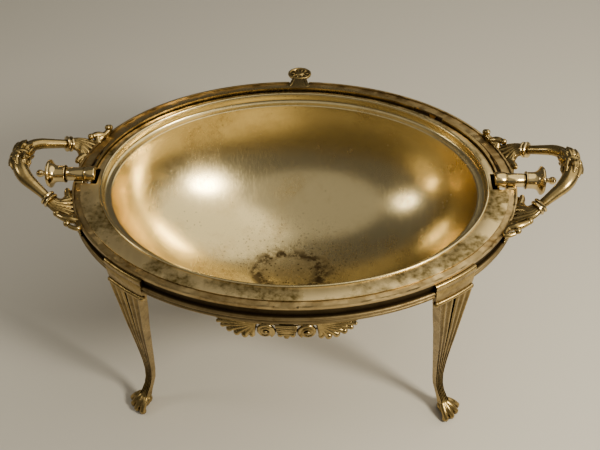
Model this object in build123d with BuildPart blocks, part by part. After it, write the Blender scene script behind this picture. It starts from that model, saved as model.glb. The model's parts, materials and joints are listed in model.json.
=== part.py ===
from build123d import *
import os
from math import atan2, cos, radians, sin, sqrt, tan

# Oval roll top chafer: a footed frame carries a deep pan, and a domed lid turns on two end
# pivots. At rest the lid is rolled open, under the pan. X runs along the long axis, Y to the back.

# Frame: an oval band with a flat flange at its top, on four legs
flange_top = 188.0          # height of the frame's flange over the floor
frame_x = 169.0             # semi-axes of the flange's outer edge
frame_y = 124.0
flange_width = 8.0          # at the front and back
end_flange_width = 11.2     # at the ends
flange_thickness = 1.5
lip_width = 1.5             # raised lip round the flange's outer edge
lip_height = 1.0
notch_width = 17.0          # gaps in the lip, front and back, for the lid's handle
wall_inset = 1.5            # wall's outer face inside the flange's edge
wall_thickness = 1.5
wall_height = 17.0          # from the flange's top to the wall's lower edge
moulding_drop = 9.0         # from the flange's top to the moulding's top
bead_size = 3.3             # height and depth of each of the moulding's two beads

# Pan: a wide flat flange, a collar, a ledge for the liner, and a half-ellipsoid bowl
rim_inset_x = 23.0          # collar's inner face inside the frame's edge, at the ends
rim_inset_y = 19.0          # and at the front and back
sheet = 1.2                 # thickness of the pan's flange, ledge and bowl
collar_wall = 1.4
ledge_width = 6.0
ledge_drop = 6.0            # from the flange's top down to the ledge
bowl_lift = 4.0             # height of the bowl's centre over the ledge
back_lap = 4.0              # width of the pan's flange at the back, beyond the collar's inner face
back_end_lap = 7.8          # and towards the ends, up to the lid
lug_lap = 4.0               # and beside the lid's lugs
front_lap = 2.0             # overlap of the pan's flange on the frame's flange, at the front
front_end_lap = 5.2         # and towards the ends
front_start = 8.5           # the wide front half of the flange ends this far before the pivots
rim_wire = 2.2              # half-round wire along the collar's top

# Lid: half an ellipsoid of revolution about the pivot line
axis_lift = 3.0             # pivot line over the frame's flange
lid_inset_x = 13.0          # outer face inside the frame's edge, at the ends
lid_inset_r = 11.5          # and at the front and back
lid_wall = 1.4
lid_back_edge = 0.5         # degrees over the pivot plane, at rest, of the leading edge
lid_edge_gap = 0.4          # at rest, from the trailing edge up to the pan's front flange
bead_depth = 1.0            # applied rim bead on the leading edge
bead_degrees = 1.8
spoon_notch_place = 0.64    # share of the frame's half length to the notch in the leading edge for a spoon's handle
spoon_notch_width = 22.0
spoon_notch_depth = 8.0

# Pivots
lug_radius = 6.15
lug_depth = 17.0            # from the frame's edge in to the lug's inner end
lug_gap = 0.3               # between the lid's lug and the bearing tube, and the tube and the nut
bearing_radius = 5.65
bearing_depth = 8.0         # from the frame's edge in to the tube's inner end
bearing_length = 13.5
bearing_foot_width = 14.0
bearing_foot_depth = 7.0
pin_radius = 3.0
pin_clearance = 0.05        # radial, in the bearing and in the lug
nut_barrel_radius = 7.25
nut_barrel_length = 7.4
nut_flange_radius = 11.0
nut_flange_length = 7.0
nut_neck_radius = 2.4
nut_ball_radius = 3.75

# Lid handle
tab_thickness = 2.4
tab_base_width = 20.0
tab_neck_width = 14.0
tab_disc_reach = 8.8        # from the frame's edge out to the disc's centre
tab_disc_radii = (10.2, 8.5)
tab_skirt_depth = 9.0
tab_skirt_thickness = 1.3
rivet_radius = 1.2
rivet_spacing = 12.0
rivet_head = 0.6

# Legs
leg_turn = 46.7             # parameter angle of each leg on the frame's oval
leg_top_drop = 2.0
# one row for each level: height, shift along X and Y from the frame's edge, width, depth
leg_levels = [
    (flange_top - leg_top_drop, -0.6, -0.6, 32.0, 8.0),
    (flange_top - 21.0, -0.4, -0.6, 33.0, 9.0),
    (flange_top - 25.0, -0.6, -1.6, 28.5, 8.0),
    (120.0, 1.0, -5.0, 20.0, 8.0),
    (85.0, 2.5, -9.0, 14.0, 7.8),
    (55.0, 4.0, -12.0, 9.5, 7.4),
    (32.0, 5.5, -12.5, 7.5, 7.0),
    (14.0, 8.5, -9.5, 11.0, 11.0),
]
paw_turn = 46.0             # direction in which each paw points, from the X axis
paw_reach = 12.0            # from the leg's lowest level to the toe tips' centres
toe_radius = 3.6
toe_fan = (-33.0, -11.0, 11.0, 33.0)

# Handles
grip_radius = 4.2
grip_tilt = 28.9            # the handle rises outwards by this angle
grip_slant = 28.9           # each arm closes in towards the middle by this angle
grip_root = (12.5, 30.0, 7.4)    # end of each arm: past the frame's edge, Y, and over its flange
grip_reach = 27.4           # from the arms' ends to the bow's middle
knot_radius = 8.0
knot_length = 22.0
grip_collar_radius = 6.3
grip_collar_length = 5.0
socket_length = 19.0
socket_mouth = 5.2
socket_root = 9.0
mount_plate = 4.0           # thickness outside the frame's edge
mount_span = (11.0, 57.0)   # from and to, along Y
mount_drop = 9.0            # below and above the frame's flange
mount_rise = 5.0
curl_radius = 4.0
curl_places = ((-13.0, 54.0), (-2.5, 43.0))  # X from the frame's edge, and Y

# Ornaments under the moulding
ornament_depth = 5.5
ornament_outline = [(0, 16), (14, 16), (17, 12), (30, 7.5), (40, 5), (49, 3.4), (49, 0)]

# Screws that hold the legs and handles, from inside the wall
screw_radius = 1.75
screw_head_radius = 2.9
screw_head = 1.6
screw_head_gap = 0.1        # from the flat head to the curved wall
screw_reach = 3.0           # into the leg or handle mount
screw_drop = 5.3            # below the frame's flange
screw_clearance = 0.05
handle_screw_y = 32.0

# Sizes that follow
flange_bottom = flange_top - flange_thickness
rim_x, rim_y = frame_x - rim_inset_x, frame_y - rim_inset_y
lid_x, lid_r = frame_x - lid_inset_x, frame_y - lid_inset_r
spoon_notch_x = spoon_notch_place * frame_x
lug_inner_end = frame_x - lug_depth
bearing_inner_end = frame_x - bearing_depth
tab_disc_y = frame_y + tab_disc_reach
wall_x, wall_y = frame_x - wall_inset, frame_y - wall_inset
wall_bottom = flange_top - wall_height
moulding_top = flange_top - moulding_drop
moulding_bottom = moulding_top - 2 * bead_size
moulding_x, moulding_y = wall_x + bead_size, wall_y + bead_size
slot_x, slot_y = frame_x - end_flange_width, frame_y - flange_width
pan_top = flange_top + sheet
ledge_z = flange_top - ledge_drop
bowl_x, bowl_y = rim_x - ledge_width, rim_y - ledge_width
axis_z = flange_top + axis_lift
lid_edge_z = flange_top - lid_edge_gap
lid_in_x, lid_in_r = lid_x - lid_wall, lid_r - lid_wall
lug_length = bearing_inner_end - lug_gap - lug_inner_end
nut_start = bearing_inner_end + bearing_length + lug_gap
tab_back = tab_disc_y + tab_disc_radii[1]
ornament_front = wall_y + ornament_depth
origin_y = (tab_back - ornament_front) / 2  # the origin lies under the middle of the whole box
ends = {"left": -1, "right": 1}
corners = {"front_left": (-1, -1), "front_right": (1, -1), "back_left": (-1, 1), "back_right": (1, 1)}

os.makedirs("parts", exist_ok=True)


def save(builder, name):
    piece = builder.part.moved(Location((0, -origin_y, 0)))
    piece.label = name
    export_step(piece, f"parts/{name}.step")


def rim_plane(turn, side_x, side_y, height, inset):
    """Plane on the frame's oval at a parameter angle, looking outwards, inset from the edge."""
    a, b = frame_x - inset, frame_y - inset
    place = (side_x * a * cos(turn), side_y * b * sin(turn), height)
    outward = (side_x * cos(turn) / a, side_y * sin(turn) / b, 0)
    return Plane(origin=place, x_dir=(-outward[1], outward[0], 0), z_dir=outward)


def cylinder_along(plane, radius, start, length):
    """A loose cylinder on a plane's normal, to be added to a piece or cut from it."""
    foot = (Align.CENTER, Align.CENTER, Align.MIN)
    return plane.offset(start).location * Cylinder(radius, length, align=foot, mode=Mode.PRIVATE)


leg_rad = radians(leg_turn)
handle_rad = atan2(handle_screw_y / wall_y, sqrt(1 - (handle_screw_y / wall_y) ** 2))
screw_height = flange_top - screw_drop
screw_start = -wall_inset - wall_thickness
leg_screw_planes = {n: rim_plane(leg_rad, *s, screw_height, 0) for n, s in corners.items()}
handle_screw_planes = {n: rim_plane(handle_rad, *s, screw_height, 0) for n, s in corners.items()}
screw_planes = list(leg_screw_planes.values()) + list(handle_screw_planes.values())
screw_hole = screw_radius + screw_clearance
screw_length = wall_thickness + screw_reach

# Everything that the frame fills, for cutting what seats against it
with BuildPart() as frame_envelope:
    with BuildSketch(Plane.XY.offset(wall_bottom)):
        Ellipse(wall_x, wall_y)
    extrude(amount=flange_bottom - wall_bottom)
    with BuildSketch(Plane.XY.offset(moulding_bottom)):
        Ellipse(moulding_x, moulding_y)
    extrude(amount=moulding_top - moulding_bottom)
    with BuildSketch(Plane.XY.offset(flange_bottom)):
        Ellipse(frame_x, frame_y)
    extrude(amount=flange_thickness + lip_height)

# Frame band
with BuildPart() as frame_band:
    with BuildSketch(Plane.XY.offset(wall_bottom)):
        Ellipse(wall_x, wall_y)
        Ellipse(wall_x - wall_thickness, wall_y - wall_thickness, mode=Mode.SUBTRACT)
    extrude(amount=flange_bottom - wall_bottom)
    with BuildSketch(Plane.XY.offset(flange_bottom)):
        Ellipse(frame_x, frame_y)
        Ellipse(slot_x, slot_y, mode=Mode.SUBTRACT)
    extrude(amount=flange_thickness)
    with BuildSketch(Plane.XY.offset(flange_top)):
        Ellipse(frame_x, frame_y)
        Ellipse(frame_x - lip_width, frame_y - lip_width, mode=Mode.SUBTRACT)
        Rectangle(notch_width, 3 * frame_y, mode=Mode.SUBTRACT)
    extrude(amount=lip_height)
    # seats for the two bearings' feet
    with BuildSketch(Plane.XY.offset(flange_top - bearing_foot_depth)):
        with Locations((-frame_x, 0), (frame_x, 0)):
            Rectangle(3 * end_flange_width, bearing_foot_width)
    extrude(amount=bearing_foot_depth + lip_height, mode=Mode.SUBTRACT)
    for plane in screw_planes:
        add(cylinder_along(plane, screw_hole, screw_start - 1, wall_thickness + 2), mode=Mode.SUBTRACT)
save(frame_band, "frame_band")

# Frame moulding: two round beads round the wall
with BuildPart() as frame_moulding:
    for level in (moulding_bottom, moulding_bottom + bead_size):
        with BuildSketch(Plane.XY.offset(level)):
            Ellipse(moulding_x, moulding_y)
            Ellipse(wall_x, wall_y, mode=Mode.SUBTRACT)
        bead = extrude(amount=bead_size, mode=Mode.PRIVATE)
        outer_edges = bead.edges().group_by(SortBy.LENGTH)[-1]
        add(bead.fillet(0.45 * bead_size, outer_edges))
save(frame_moulding, "frame_moulding")

# Pan bowl: half-ellipsoid shell, ledge and collar
bowl_centre = Plane(origin=(0, 0, ledge_z + bowl_lift), x_dir=(1, 0, 0), z_dir=(0, -1, 0))
with BuildPart() as pan_bowl:
    with BuildSketch(bowl_centre):
        Ellipse(bowl_x + sheet, bowl_y + sheet)
        Ellipse(bowl_x, bowl_y, mode=Mode.SUBTRACT)
        Rectangle(3 * bowl_x, 3 * bowl_y, align=(Align.CENTER, Align.MIN), mode=Mode.SUBTRACT)
    revolve(axis=Axis(bowl_centre.origin, (1, 0, 0)), revolution_arc=360)
    split(bisect_by=Plane.XY.offset(ledge_z), keep=Keep.BOTTOM)
    with BuildSketch(Plane.XY.offset(ledge_z - sheet)):
        Ellipse(rim_x + collar_wall, rim_y + collar_wall)
        Ellipse(bowl_x - 0.05, bowl_y - 0.05, mode=Mode.SUBTRACT)
    extrude(amount=sheet)
    with BuildSketch(Plane.XY.offset(ledge_z)):
        Ellipse(rim_x + collar_wall, rim_y + collar_wall)
        Ellipse(rim_x, rim_y, mode=Mode.SUBTRACT)
    extrude(amount=pan_top - ledge_z)
save(pan_bowl, "pan_bowl")

# Pan flange: narrow at the back, where the lid passes, and wide at the front, lapping the frame
with BuildPart() as pan_flange:
    with BuildSketch(Plane.XY.offset(flange_top)):
        Ellipse(slot_x + front_end_lap, slot_y + front_lap)
        with Locations((0, -front_start)):
            Rectangle(3 * frame_x, 3 * frame_y, align=(Align.CENTER, Align.MIN), mode=Mode.SUBTRACT)
        Ellipse(rim_x + back_end_lap, rim_y + back_lap)
        for side in ends.values():
            with Locations((side * (rim_x + lug_lap), 0)):
                lap_side = Align.MIN if side > 0 else Align.MAX
                Rectangle(frame_x, 2 * front_start, align=(lap_side, Align.CENTER), mode=Mode.SUBTRACT)
        Ellipse(rim_x + collar_wall, rim_y + collar_wall, mode=Mode.SUBTRACT)
    extrude(amount=sheet)
save(pan_flange, "pan_flange")

# Half-round wire soldered along the collar's top
with BuildPart() as pan_rim_wire:
    with BuildSketch(Plane.XY.offset(pan_top)):
        Ellipse(rim_x + rim_wire, rim_y + rim_wire)
        Ellipse(rim_x, rim_y, mode=Mode.SUBTRACT)
    extrude(amount=rim_wire / 2)
    fillet(pan_rim_wire.faces().sort_by(Axis.Z)[-1].edges(), 0.45 * rim_wire)
save(pan_rim_wire, "pan_rim_wire")


def lid_plane(rise):
    """Plane through the pivot line, turned so that its Y points back at an angle over level."""
    tilt = radians(rise)
    return Plane(origin=(0, 0, axis_z), x_dir=(1, 0, 0), z_dir=(0, -sin(tilt), cos(tilt)))


# Lid dome
unroll = Axis((0, 0, axis_z), (-1, 0, 0))
with BuildPart() as spoon_notch:
    with BuildSketch(Plane.XZ.offset(-frame_y)):
        with Locations((spoon_notch_x, axis_z)):
            RectangleRounded(spoon_notch_width, 2 * spoon_notch_depth, 3)
    extrude(amount=0.75 * frame_y)

with BuildPart() as lid_dome:
    with BuildSketch(lid_plane(lid_back_edge)):
        Ellipse(lid_x, lid_r)
        Ellipse(lid_in_x, lid_in_r, mode=Mode.SUBTRACT)
        with Locations((0, lug_radius)):
            Rectangle(3 * lid_x, 3 * lid_r, align=(Align.CENTER, Align.MAX), mode=Mode.SUBTRACT)
    revolve(axis=unroll, revolution_arc=180 + lid_back_edge)
    with BuildSketch(Plane.XY.offset(lid_edge_z)):
        Rectangle(3 * lid_x, 3 * lid_r, align=(Align.CENTER, Align.MAX))
    extrude(amount=2 * lug_radius, mode=Mode.SUBTRACT)
    add(spoon_notch.part, mode=Mode.SUBTRACT)
    with Locations(Plane(origin=(0, lid_r, axis_z - tab_skirt_depth + 3), x_dir=(1, 0, 0), z_dir=(0, 1, 0))):
        with GridLocations(rivet_spacing, 1, 2, 1):
            Cylinder(rivet_radius, 8 * lid_wall, mode=Mode.SUBTRACT)
save(lid_dome, "lid_dome")

# Applied bead on the leading edge, in two lengths that stop at the spoon notch
bead_spans = {
    "lid_rim_long": (-lid_x + 4, spoon_notch_x - spoon_notch_width / 2),
    "lid_rim_short": (spoon_notch_x + spoon_notch_width / 2, lid_x - 4),
}
for name, (start, end) in bead_spans.items():
    with BuildPart() as lid_rim:
        with BuildSketch(lid_plane(lid_back_edge)):
            Ellipse(lid_x + bead_depth, lid_r + bead_depth)
            Ellipse(lid_x, lid_r, mode=Mode.SUBTRACT)
            with Locations((0, lug_radius)):
                Rectangle(3 * lid_x, 3 * lid_r, align=(Align.CENTER, Align.MAX), mode=Mode.SUBTRACT)
            with Locations(((start + end) / 2, 0)):
                Rectangle(end - start, 3 * lid_r, mode=Mode.INTERSECT)
        revolve(axis=unroll, revolution_arc=bead_degrees)
    save(lid_rim, name)

# Lid handle: a flat tab over the frame's flange, with a skirt riveted to the lid
with BuildPart() as lid_handle:
    with BuildSketch(Plane.XY.offset(axis_z - tab_thickness / 2)):
        with BuildLine():
            half_base, half_neck = tab_base_width / 2, tab_neck_width / 2
            neck_y = frame_y - flange_width / 2
            Polyline((half_base, lid_r), (half_base, neck_y), (half_neck, frame_y), (half_neck, tab_disc_y))
            Line((half_neck, tab_disc_y), (0, tab_disc_y))
            Line((0, tab_disc_y), (0, lid_r))
            Line((0, lid_r), (half_base, lid_r))
        make_face()
        mirror(about=Plane.YZ)
        with Locations((0, tab_disc_y)):
            Ellipse(*tab_disc_radii)
        Ellipse(lid_x + bead_depth, lid_r + bead_depth, mode=Mode.SUBTRACT)
    extrude(amount=tab_thickness)
    skirt_x, skirt_r = lid_x + bead_depth + tab_skirt_thickness, lid_r + bead_depth + tab_skirt_thickness
    with BuildSketch(Plane.XY.offset(axis_z - tab_skirt_depth)):
        Ellipse(skirt_x, skirt_r)
        Ellipse(lid_x + bead_depth, lid_r + bead_depth, mode=Mode.SUBTRACT)
        with Locations((0, lid_r)):
            Rectangle(tab_base_width, lid_r, mode=Mode.INTERSECT)
    extrude(amount=tab_skirt_depth)
    rivet_row = Plane(origin=(0, lid_r, axis_z - tab_skirt_depth + 3), x_dir=(1, 0, 0), z_dir=(0, 1, 0))
    with Locations(rivet_row):
        with GridLocations(rivet_spacing, 1, 2, 1):
            Cylinder(rivet_radius, 8 * lid_wall, mode=Mode.SUBTRACT)
save(lid_handle, "lid_handle")

with BuildPart() as lid_handle_rivets:
    rivet_inner = lid_in_r - rivet_head - lid_r
    rivet_outer = bead_depth + tab_skirt_thickness - 0.2
    with BuildSketch(rivet_row.offset(rivet_inner)):
        with GridLocations(rivet_spacing, 1, 2, 1):
            Circle(rivet_radius)
    extrude(amount=rivet_outer - rivet_inner)
save(lid_handle_rivets, "lid_handle_rivets")

for name, side in ends.items():
    facing = Plane(origin=(0, 0, axis_z), x_dir=(0, 1, 0), z_dir=(side, 0, 0))

    # Lug on the lid's end, bored for the pivot pin
    with BuildPart() as lid_lug:
        with BuildSketch(facing.offset(lug_inner_end)):
            Circle(lug_radius)
            Circle(pin_radius + pin_clearance, mode=Mode.SUBTRACT)
        extrude(amount=lug_length)
    save(lid_lug, f"lid_lug_{name}")

    # Bearing: a tube on a foot that fills its seat in the frame
    with BuildPart() as bearing:
        with BuildSketch(facing.offset(bearing_inner_end)):
            Circle(bearing_radius)
        extrude(amount=bearing_length)
        with BuildSketch(Plane.XY.offset(flange_top - bearing_foot_depth)):
            with Locations((side * bearing_inner_end, 0)):
                foot_side = Align.MIN if side > 0 else Align.MAX
                Rectangle(frame_x - bearing_inner_end, bearing_foot_width, align=(foot_side, Align.CENTER))
        extrude(amount=bearing_foot_depth + axis_lift / 2)
        with BuildSketch(facing.offset(bearing_inner_end)):
            Circle(pin_radius + pin_clearance)
        extrude(amount=bearing_length, mode=Mode.SUBTRACT)
    save(bearing, f"bearing_{name}")

    # Thumb nut with a ball finial, fixed on the pin
    nut_flange_start = nut_start + nut_barrel_length
    nut_face = nut_flange_start + nut_flange_length
    ball_centre = nut_face + 2.6 + nut_ball_radius
    pin_end = nut_flange_start + nut_flange_length / 2
    with BuildPart() as thumb_nut:
        with BuildSketch(facing.offset(nut_start)):
            Circle(nut_barrel_radius)
        extrude(amount=nut_barrel_length)
        with BuildSketch(facing.offset(nut_flange_start)):
            Circle(nut_flange_radius)
        extrude(amount=nut_flange_length)
        with BuildSketch(facing.offset(nut_face)):
            Circle(nut_neck_radius)
        extrude(amount=ball_centre - nut_face)
        with Locations((side * ball_centre, 0, axis_z)):
            Sphere(nut_ball_radius)
        with BuildSketch(facing.offset(nut_start)):
            Circle(pin_radius)
        extrude(amount=pin_end - nut_start, mode=Mode.SUBTRACT)
    save(thumb_nut, f"thumb_nut_{name}")

    with BuildPart() as pivot_pin:
        with BuildSketch(facing.offset(lug_inner_end + 1)):
            Circle(pin_radius)
        extrude(amount=pin_end - lug_inner_end - 1)
    save(pivot_pin, f"pivot_pin_{name}")

    # Handle grip: two slanting arms and a bow, with a swelling at its middle
    root_out, root_y, root_rise = grip_root
    root_x = frame_x + root_out
    tilt = radians(grip_tilt)
    outward = (side * cos(tilt), 0, sin(tilt))
    grip_plane = Plane(
        origin=(side * root_x, 0, flange_top + root_rise), x_dir=outward, z_dir=(-sin(tilt), 0, side * cos(tilt))
    )
    slant = radians(grip_slant)
    corner_reach = root_y / tan(slant)  # where the two arms' lines would cross
    grip_bend = (corner_reach - grip_reach) / (1 / sin(slant) - 1)
    with BuildPart() as handle_grip:
        with BuildLine(grip_plane) as grip_path:
            FilletPolyline((0, -root_y), (corner_reach, 0), (0, root_y), radius=grip_bend)
        with BuildSketch(Plane(origin=grip_path.line @ 0, z_dir=grip_path.line % 0)):
            Circle(grip_radius)
        sweep()
        knot_plane = Plane(origin=grip_plane.from_local_coords((grip_reach, 0, 0)), x_dir=(0, 1, 0), z_dir=(side, 0, 0))
        with BuildSketch(knot_plane):
            Ellipse(knot_length / 2, knot_radius)
            Rectangle(2 * knot_length, knot_radius, align=(Align.CENTER, Align.MAX), mode=Mode.SUBTRACT)
        revolve(axis=Axis(knot_plane.origin, (0, 1, 0)), revolution_arc=360)
    save(handle_grip, f"handle_grip_{name}")

    # Double collars between the grip and its two mounts
    arm_planes = {}
    for word, y_side in (("front", -1), ("back", 1)):
        arm_root = Vector(side * root_x, y_side * root_y, flange_top + root_rise)
        along = Vector(outward) * cos(slant) + Vector(0, -y_side * sin(slant), 0)
        arm_planes[word] = Plane(origin=arm_root, z_dir=along)
    with BuildPart() as handle_collars:
        for plane in arm_planes.values():
            for start, radius, length in (
                (0, grip_collar_radius, 0.4 * grip_collar_length),
                (0.4, 0.8 * grip_collar_radius, 0.2 * grip_collar_length),
                (0.6, grip_collar_radius, 0.4 * grip_collar_length),
            ):
                add(cylinder_along(plane, radius, (start - 1) * grip_collar_length, length))
    save(handle_collars, f"handle_collars_{name}")

    # Handle mounts: a plate on the frame's end, two curls, and a tapered socket for the arm
    for word, y_side in (("front", -1), ("back", 1)):
        with BuildPart() as handle_mount:
            with BuildSketch(Plane.XY.offset(flange_top - mount_drop)):
                Ellipse(frame_x + mount_plate, frame_y + mount_plate)
                Ellipse(wall_x, wall_y, mode=Mode.SUBTRACT)
                low, high = mount_span
                with Locations((side * frame_x, y_side * (low + high) / 2)):
                    Rectangle(frame_x, high - low, mode=Mode.INTERSECT)
            extrude(amount=mount_drop + mount_rise)
            for curl_x, curl_y in curl_places:
                with Locations((side * (frame_x + curl_x), y_side * curl_y, flange_top + mount_rise)):
                    Sphere(curl_radius)
            socket_plane = arm_planes[word].offset(-grip_collar_length - socket_length)
            with BuildSketch(socket_plane):
                Circle(socket_root)
            with BuildSketch(socket_plane.offset(socket_length)):
                Circle(socket_mouth)
            loft()
            add(frame_envelope.part, mode=Mode.SUBTRACT)
            with BuildSketch(Plane.XY.offset(flange_top)):
                Ellipse(frame_x, frame_y)
            extrude(amount=flange_top, mode=Mode.SUBTRACT)
            screw_plane = handle_screw_planes[f"{word}_{name}"]
            add(cylinder_along(screw_plane, screw_hole, screw_start, screw_length + 0.2), mode=Mode.SUBTRACT)
        save(handle_mount, f"handle_mount_{word}_{name}")

# Legs
for name, (side_x, side_y) in corners.items():
    edge = (side_x * frame_x * cos(leg_rad), side_y * frame_y * sin(leg_rad))
    across = rim_plane(leg_rad, side_x, side_y, 0, 0).x_dir
    with BuildPart() as leg:
        for height, out_x, out_y, width, depth in leg_levels:
            centre = (edge[0] + side_x * out_x, edge[1] + side_y * out_y, height)
            with BuildSketch(Plane(origin=centre, x_dir=across, z_dir=(0, 0, 1))):
                RectangleRounded(width, depth, 0.3 * depth)
        loft()
        heel = (edge[0] + side_x * leg_levels[-1][1], edge[1] + side_y * leg_levels[-1][2])
        with BuildSketch(Plane.XY):
            with Locations(heel):
                Ellipse(8, 8)
        extrude(amount=leg_levels[-1][0], taper=8)
        for fan in toe_fan:
            turn = radians(paw_turn + fan)
            toe_plane = Plane(
                origin=(heel[0], heel[1], toe_radius), z_dir=(side_x * cos(turn), side_y * sin(turn), 0)
            )
            add(cylinder_along(toe_plane, toe_radius, 0, paw_reach))
            with Locations(toe_plane.offset(paw_reach)):
                Sphere(toe_radius)
        add(frame_envelope.part, mode=Mode.SUBTRACT)
        leg_screw = cylinder_along(leg_screw_planes[name], screw_hole, screw_start, screw_length + 0.2)
        add(leg_screw, mode=Mode.SUBTRACT)
    save(leg, f"leg_{name}")

# Screws, four for the legs and four for the handles' mounts
for group, planes in (("leg_screws", leg_screw_planes), ("handle_screws", handle_screw_planes)):
    with BuildPart() as screws:
        for plane in planes.values():
            head_face = screw_start - screw_head_gap
            add(cylinder_along(plane, screw_radius, head_face, screw_length + screw_head_gap))
            add(cylinder_along(plane, screw_head_radius, head_face - screw_head, screw_head))
    save(screws, group)

# Ornaments: a pierced spray hung under the moulding, front and back
for name, side_y in (("front", -1), ("back", 1)):
    with BuildPart() as ornament:
        with BuildSketch(Plane.XZ.offset(-side_y * ornament_front * 1.2)):
            with BuildLine():
                right_side = [(x, moulding_bottom - drop) for x, drop in ornament_outline]
                left_side = [(-x, z) for x, z in reversed(right_side)]
                Polyline(*right_side, *left_side, close=True)
            make_face()
        extrude(amount=side_y * 0.4 * ornament_front)
        with BuildSketch(Plane.XY.offset(moulding_bottom - 2 * wall_height)):
            Ellipse(wall_x + ornament_depth, wall_y + ornament_depth)
            Ellipse(wall_x, wall_y, mode=Mode.SUBTRACT)
        extrude(amount=3 * wall_height, mode=Mode.INTERSECT)
    save(ornament, f"{name}_ornament")
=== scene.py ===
import json
from math import atan2, cos, degrees, pi, radians, sin, sqrt

import bmesh
import bpy
from mathutils import Matrix, Vector


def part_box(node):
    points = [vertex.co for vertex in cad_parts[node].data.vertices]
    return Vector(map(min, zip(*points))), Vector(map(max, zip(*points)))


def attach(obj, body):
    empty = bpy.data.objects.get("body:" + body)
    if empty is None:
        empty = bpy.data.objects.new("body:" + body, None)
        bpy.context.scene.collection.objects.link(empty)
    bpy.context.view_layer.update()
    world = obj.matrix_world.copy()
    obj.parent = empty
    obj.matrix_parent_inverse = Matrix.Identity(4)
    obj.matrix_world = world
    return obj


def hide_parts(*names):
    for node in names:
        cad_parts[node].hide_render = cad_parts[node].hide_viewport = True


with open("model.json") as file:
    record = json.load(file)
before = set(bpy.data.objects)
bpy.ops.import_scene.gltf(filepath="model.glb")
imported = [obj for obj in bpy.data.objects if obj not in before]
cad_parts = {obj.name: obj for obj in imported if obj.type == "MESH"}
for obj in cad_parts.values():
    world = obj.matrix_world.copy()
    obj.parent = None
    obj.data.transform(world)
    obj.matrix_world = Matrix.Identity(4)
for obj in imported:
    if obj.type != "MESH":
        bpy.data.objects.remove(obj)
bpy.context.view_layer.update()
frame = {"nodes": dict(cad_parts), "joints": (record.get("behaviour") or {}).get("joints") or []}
mm = 0.001


# sizes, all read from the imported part, in mm
def boxOf(node):
    low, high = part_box(node)
    return [v / mm for v in low], [v / mm for v in high]


panLow, panHigh = boxOf("pan_bowl")
bandLow, bandHigh = boxOf("frame_band")
mouldLow, mouldHigh = boxOf("frame_moulding")
flangeLow, flangeHigh = boxOf("pan_flange")
middleY = (panLow[1] + panHigh[1]) / 2          # the oval's centre lies behind the origin
axisZ = frame["joints"][0]["pos_m"][2] / mm     # the lid's pivot line
frameX, frameY = bandHigh[0], (bandHigh[1] - bandLow[1]) / 2
flangeTop = flangeLow[2]
wallInset = 1.5                                 # the frame's wall stands in from its flange's edge


# modelling helpers
def takeOnly(obj):
    if bpy.context.object and bpy.context.object.mode != "OBJECT":
        bpy.ops.object.mode_set(mode="OBJECT")
    bpy.ops.object.select_all(action="DESELECT")
    obj.select_set(True)
    bpy.context.view_layer.objects.active = obj


def clearAll():
    bpy.ops.object.select_all(action="DESELECT")


def startEdit(obj, everything=False):
    takeOnly(obj)
    bpy.ops.object.mode_set(mode="EDIT")
    if everything:
        bpy.ops.mesh.select_all(action="SELECT")


def endEdit():
    bpy.ops.object.mode_set(mode="OBJECT")


def settle(obj, place=(0, 0, 0), turn=None, scale=(1, 1, 1)):
    # moves by mm, and puts the place into the mesh
    takeOnly(obj)
    spin = turn if turn is not None else Matrix.Identity(4)
    size = Matrix.Diagonal((scale[0], scale[1], scale[2], 1))
    obj.matrix_world = Matrix.Translation(Vector(place) * mm) @ spin @ size @ obj.matrix_world
    bpy.ops.object.transform_apply(location=True, rotation=True, scale=True)
    return obj


def addModifier(obj, kind, **settings):
    takeOnly(obj)
    modifier = obj.modifiers.new(kind.title(), kind)
    for name, value in settings.items():
        setattr(modifier, name, value)
    bpy.ops.object.modifier_apply(modifier=modifier.name)


def smooth(obj, angle=35):
    takeOnly(obj)
    bpy.ops.object.shade_smooth_by_angle(angle=radians(angle))


def fixNormals(obj, merge=0.005):
    startEdit(obj, True)
    bpy.ops.mesh.remove_doubles(threshold=merge * mm)
    bpy.ops.mesh.normals_make_consistent(inside=False)
    endEdit()


def pick(test, kind="verts"):
    # in edit mode: selects only what passes the test
    mesh = bmesh.from_edit_mesh(bpy.context.object.data)
    for part in (mesh.verts, mesh.edges, mesh.faces):
        for item in part:
            item.select_set(False)
    for item in getattr(mesh, kind):
        if test(item):
            item.select_set(True)
    mesh.select_flush_mode()
    bmesh.update_edit_mesh(bpy.context.object.data)


def join(name, parts):
    clearAll()
    for part in parts:
        part.select_set(True)
    bpy.context.view_layer.objects.active = parts[0]
    bpy.ops.object.join()
    whole = bpy.context.object
    whole.name = name
    return whole


def copyOf(obj, name, scale=(1, 1, 1)):
    twin = obj.copy()
    twin.data = obj.data.copy()
    bpy.context.scene.collection.objects.link(twin)
    twin.name = name
    twin.matrix_world = Matrix.Diagonal((scale[0], scale[1], scale[2], 1))
    takeOnly(twin)
    bpy.ops.object.transform_apply(location=True, rotation=True, scale=True)
    if scale[0] * scale[1] * scale[2] < 0:
        startEdit(twin, True)
        bpy.ops.mesh.flip_normals()
        endEdit()
    return twin


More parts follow.
